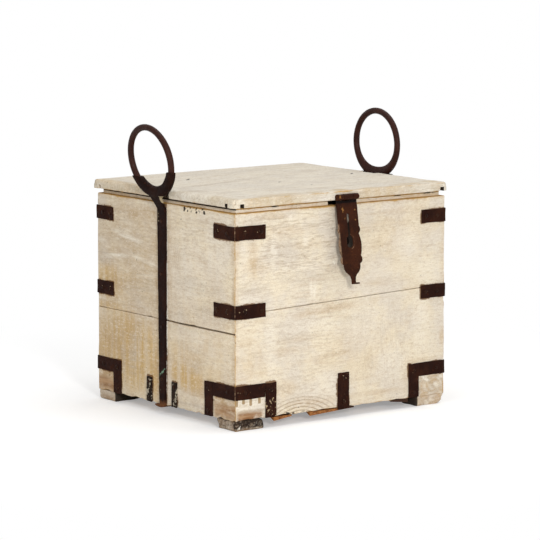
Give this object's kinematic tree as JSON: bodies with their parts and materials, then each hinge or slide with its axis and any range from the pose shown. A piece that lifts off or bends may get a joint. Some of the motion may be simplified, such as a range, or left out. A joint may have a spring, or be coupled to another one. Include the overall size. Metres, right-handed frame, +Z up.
{
  "type": "storage box",
  "caption": "Whitewashed plank storage box on corner feet, bound with iron straps, with a back-hinged lid, a swinging hasp over a staple, and standing carry rings on its ends.",
  "frame": {"origin": "the point on the floor midway between the four feet, under the centre of the walls", "axes": "+Z up, -Y out of the front with the hasp, +X to the right along the front"},
  "size_m": [0.5112, 0.4538, 0.4985],
  "materials": {
    "whitewashed_wood": "worn whitewash over open grain, matt",
    "bare_wood": "bare rough wood, matt",
    "iron": "hand-forged, dark brown rust patina, satin"
  },
  "bodies": {
    "box": {"back_cleat": "iron", "back_floor_board": "bare_wood", "back_left_foot": "whitewashed_wood", "back_left_foot_band": "iron", "back_left_foot_legs": "iron", "back_left_middle_strap": "iron", "back_left_upper_strap": "iron", "back_lower_board": "whitewashed_wood", "back_right_foot": "whitewashed_wood", "back_right_foot_band": "iron", "back_right_foot_legs": "iron", "back_right_middle_strap": "iron", "back_right_upper_strap": "iron", "back_upper_board": "whitewashed_wood", "box_nails": "iron", "end_cleats": "iron", "front_cleat": "iron", "front_floor_board": "bare_wood", "front_left_foot": "whitewashed_wood", "front_left_foot_band": "iron", "front_left_foot_legs": "iron", "front_left_middle_strap": "iron", "front_left_upper_strap": "iron", "front_lower_board": "whitewashed_wood", "front_right_foot": "whitewashed_wood", "front_right_foot_band": "iron", "front_right_foot_legs": "iron", "front_right_middle_strap": "iron", "front_right_upper_strap": "iron", "front_upper_board": "whitewashed_wood", "hasp_staple": "iron", "hinge_pins": "iron", "left_carry_strap": "iron", "left_hinge_wall_leaf": "iron", "left_lower_board": "whitewashed_wood", "left_ring": "iron", "left_runner": "bare_wood", "left_upper_board": "whitewashed_wood", "middle_runner": "bare_wood", "right_carry_strap": "iron", "right_hinge_wall_leaf": "iron", "right_lower_board": "whitewashed_wood", "right_ring": "iron", "right_runner": "bare_wood", "right_upper_board": "whitewashed_wood"},
    "lid": {"lid_front_board": "whitewashed_wood", "lid_back_board": "whitewashed_wood", "lid_front_lip": "whitewashed_wood", "lid_back_lip": "whitewashed_wood", "lid_left_lip": "whitewashed_wood", "lid_right_lip": "whitewashed_wood", "lid_corner_blocks": "whitewashed_wood", "lid_battens": "bare_wood", "left_hinge_lid_leaf": "iron", "right_hinge_lid_leaf": "iron", "hasp_eye": "iron", "hasp_pin": "iron", "lid_nails": "iron"},
    "hasp": {"hasp": "iron"}
  },
  "joints": [
    {"name": "lid_hinge", "type": "hinge", "parent": "box", "child": "lid", "pos_m": [0, 0.2075, 0.3665], "axis": [-1, 0, 0], "range_deg": [0, 105]},
    {"name": "hasp_swing", "type": "hinge", "parent": "lid", "child": "hasp", "pos_m": [0, -0.21175, 0.37625], "axis": [-1, 0, 0], "range_deg": [-11.2, 165]}
  ]
}
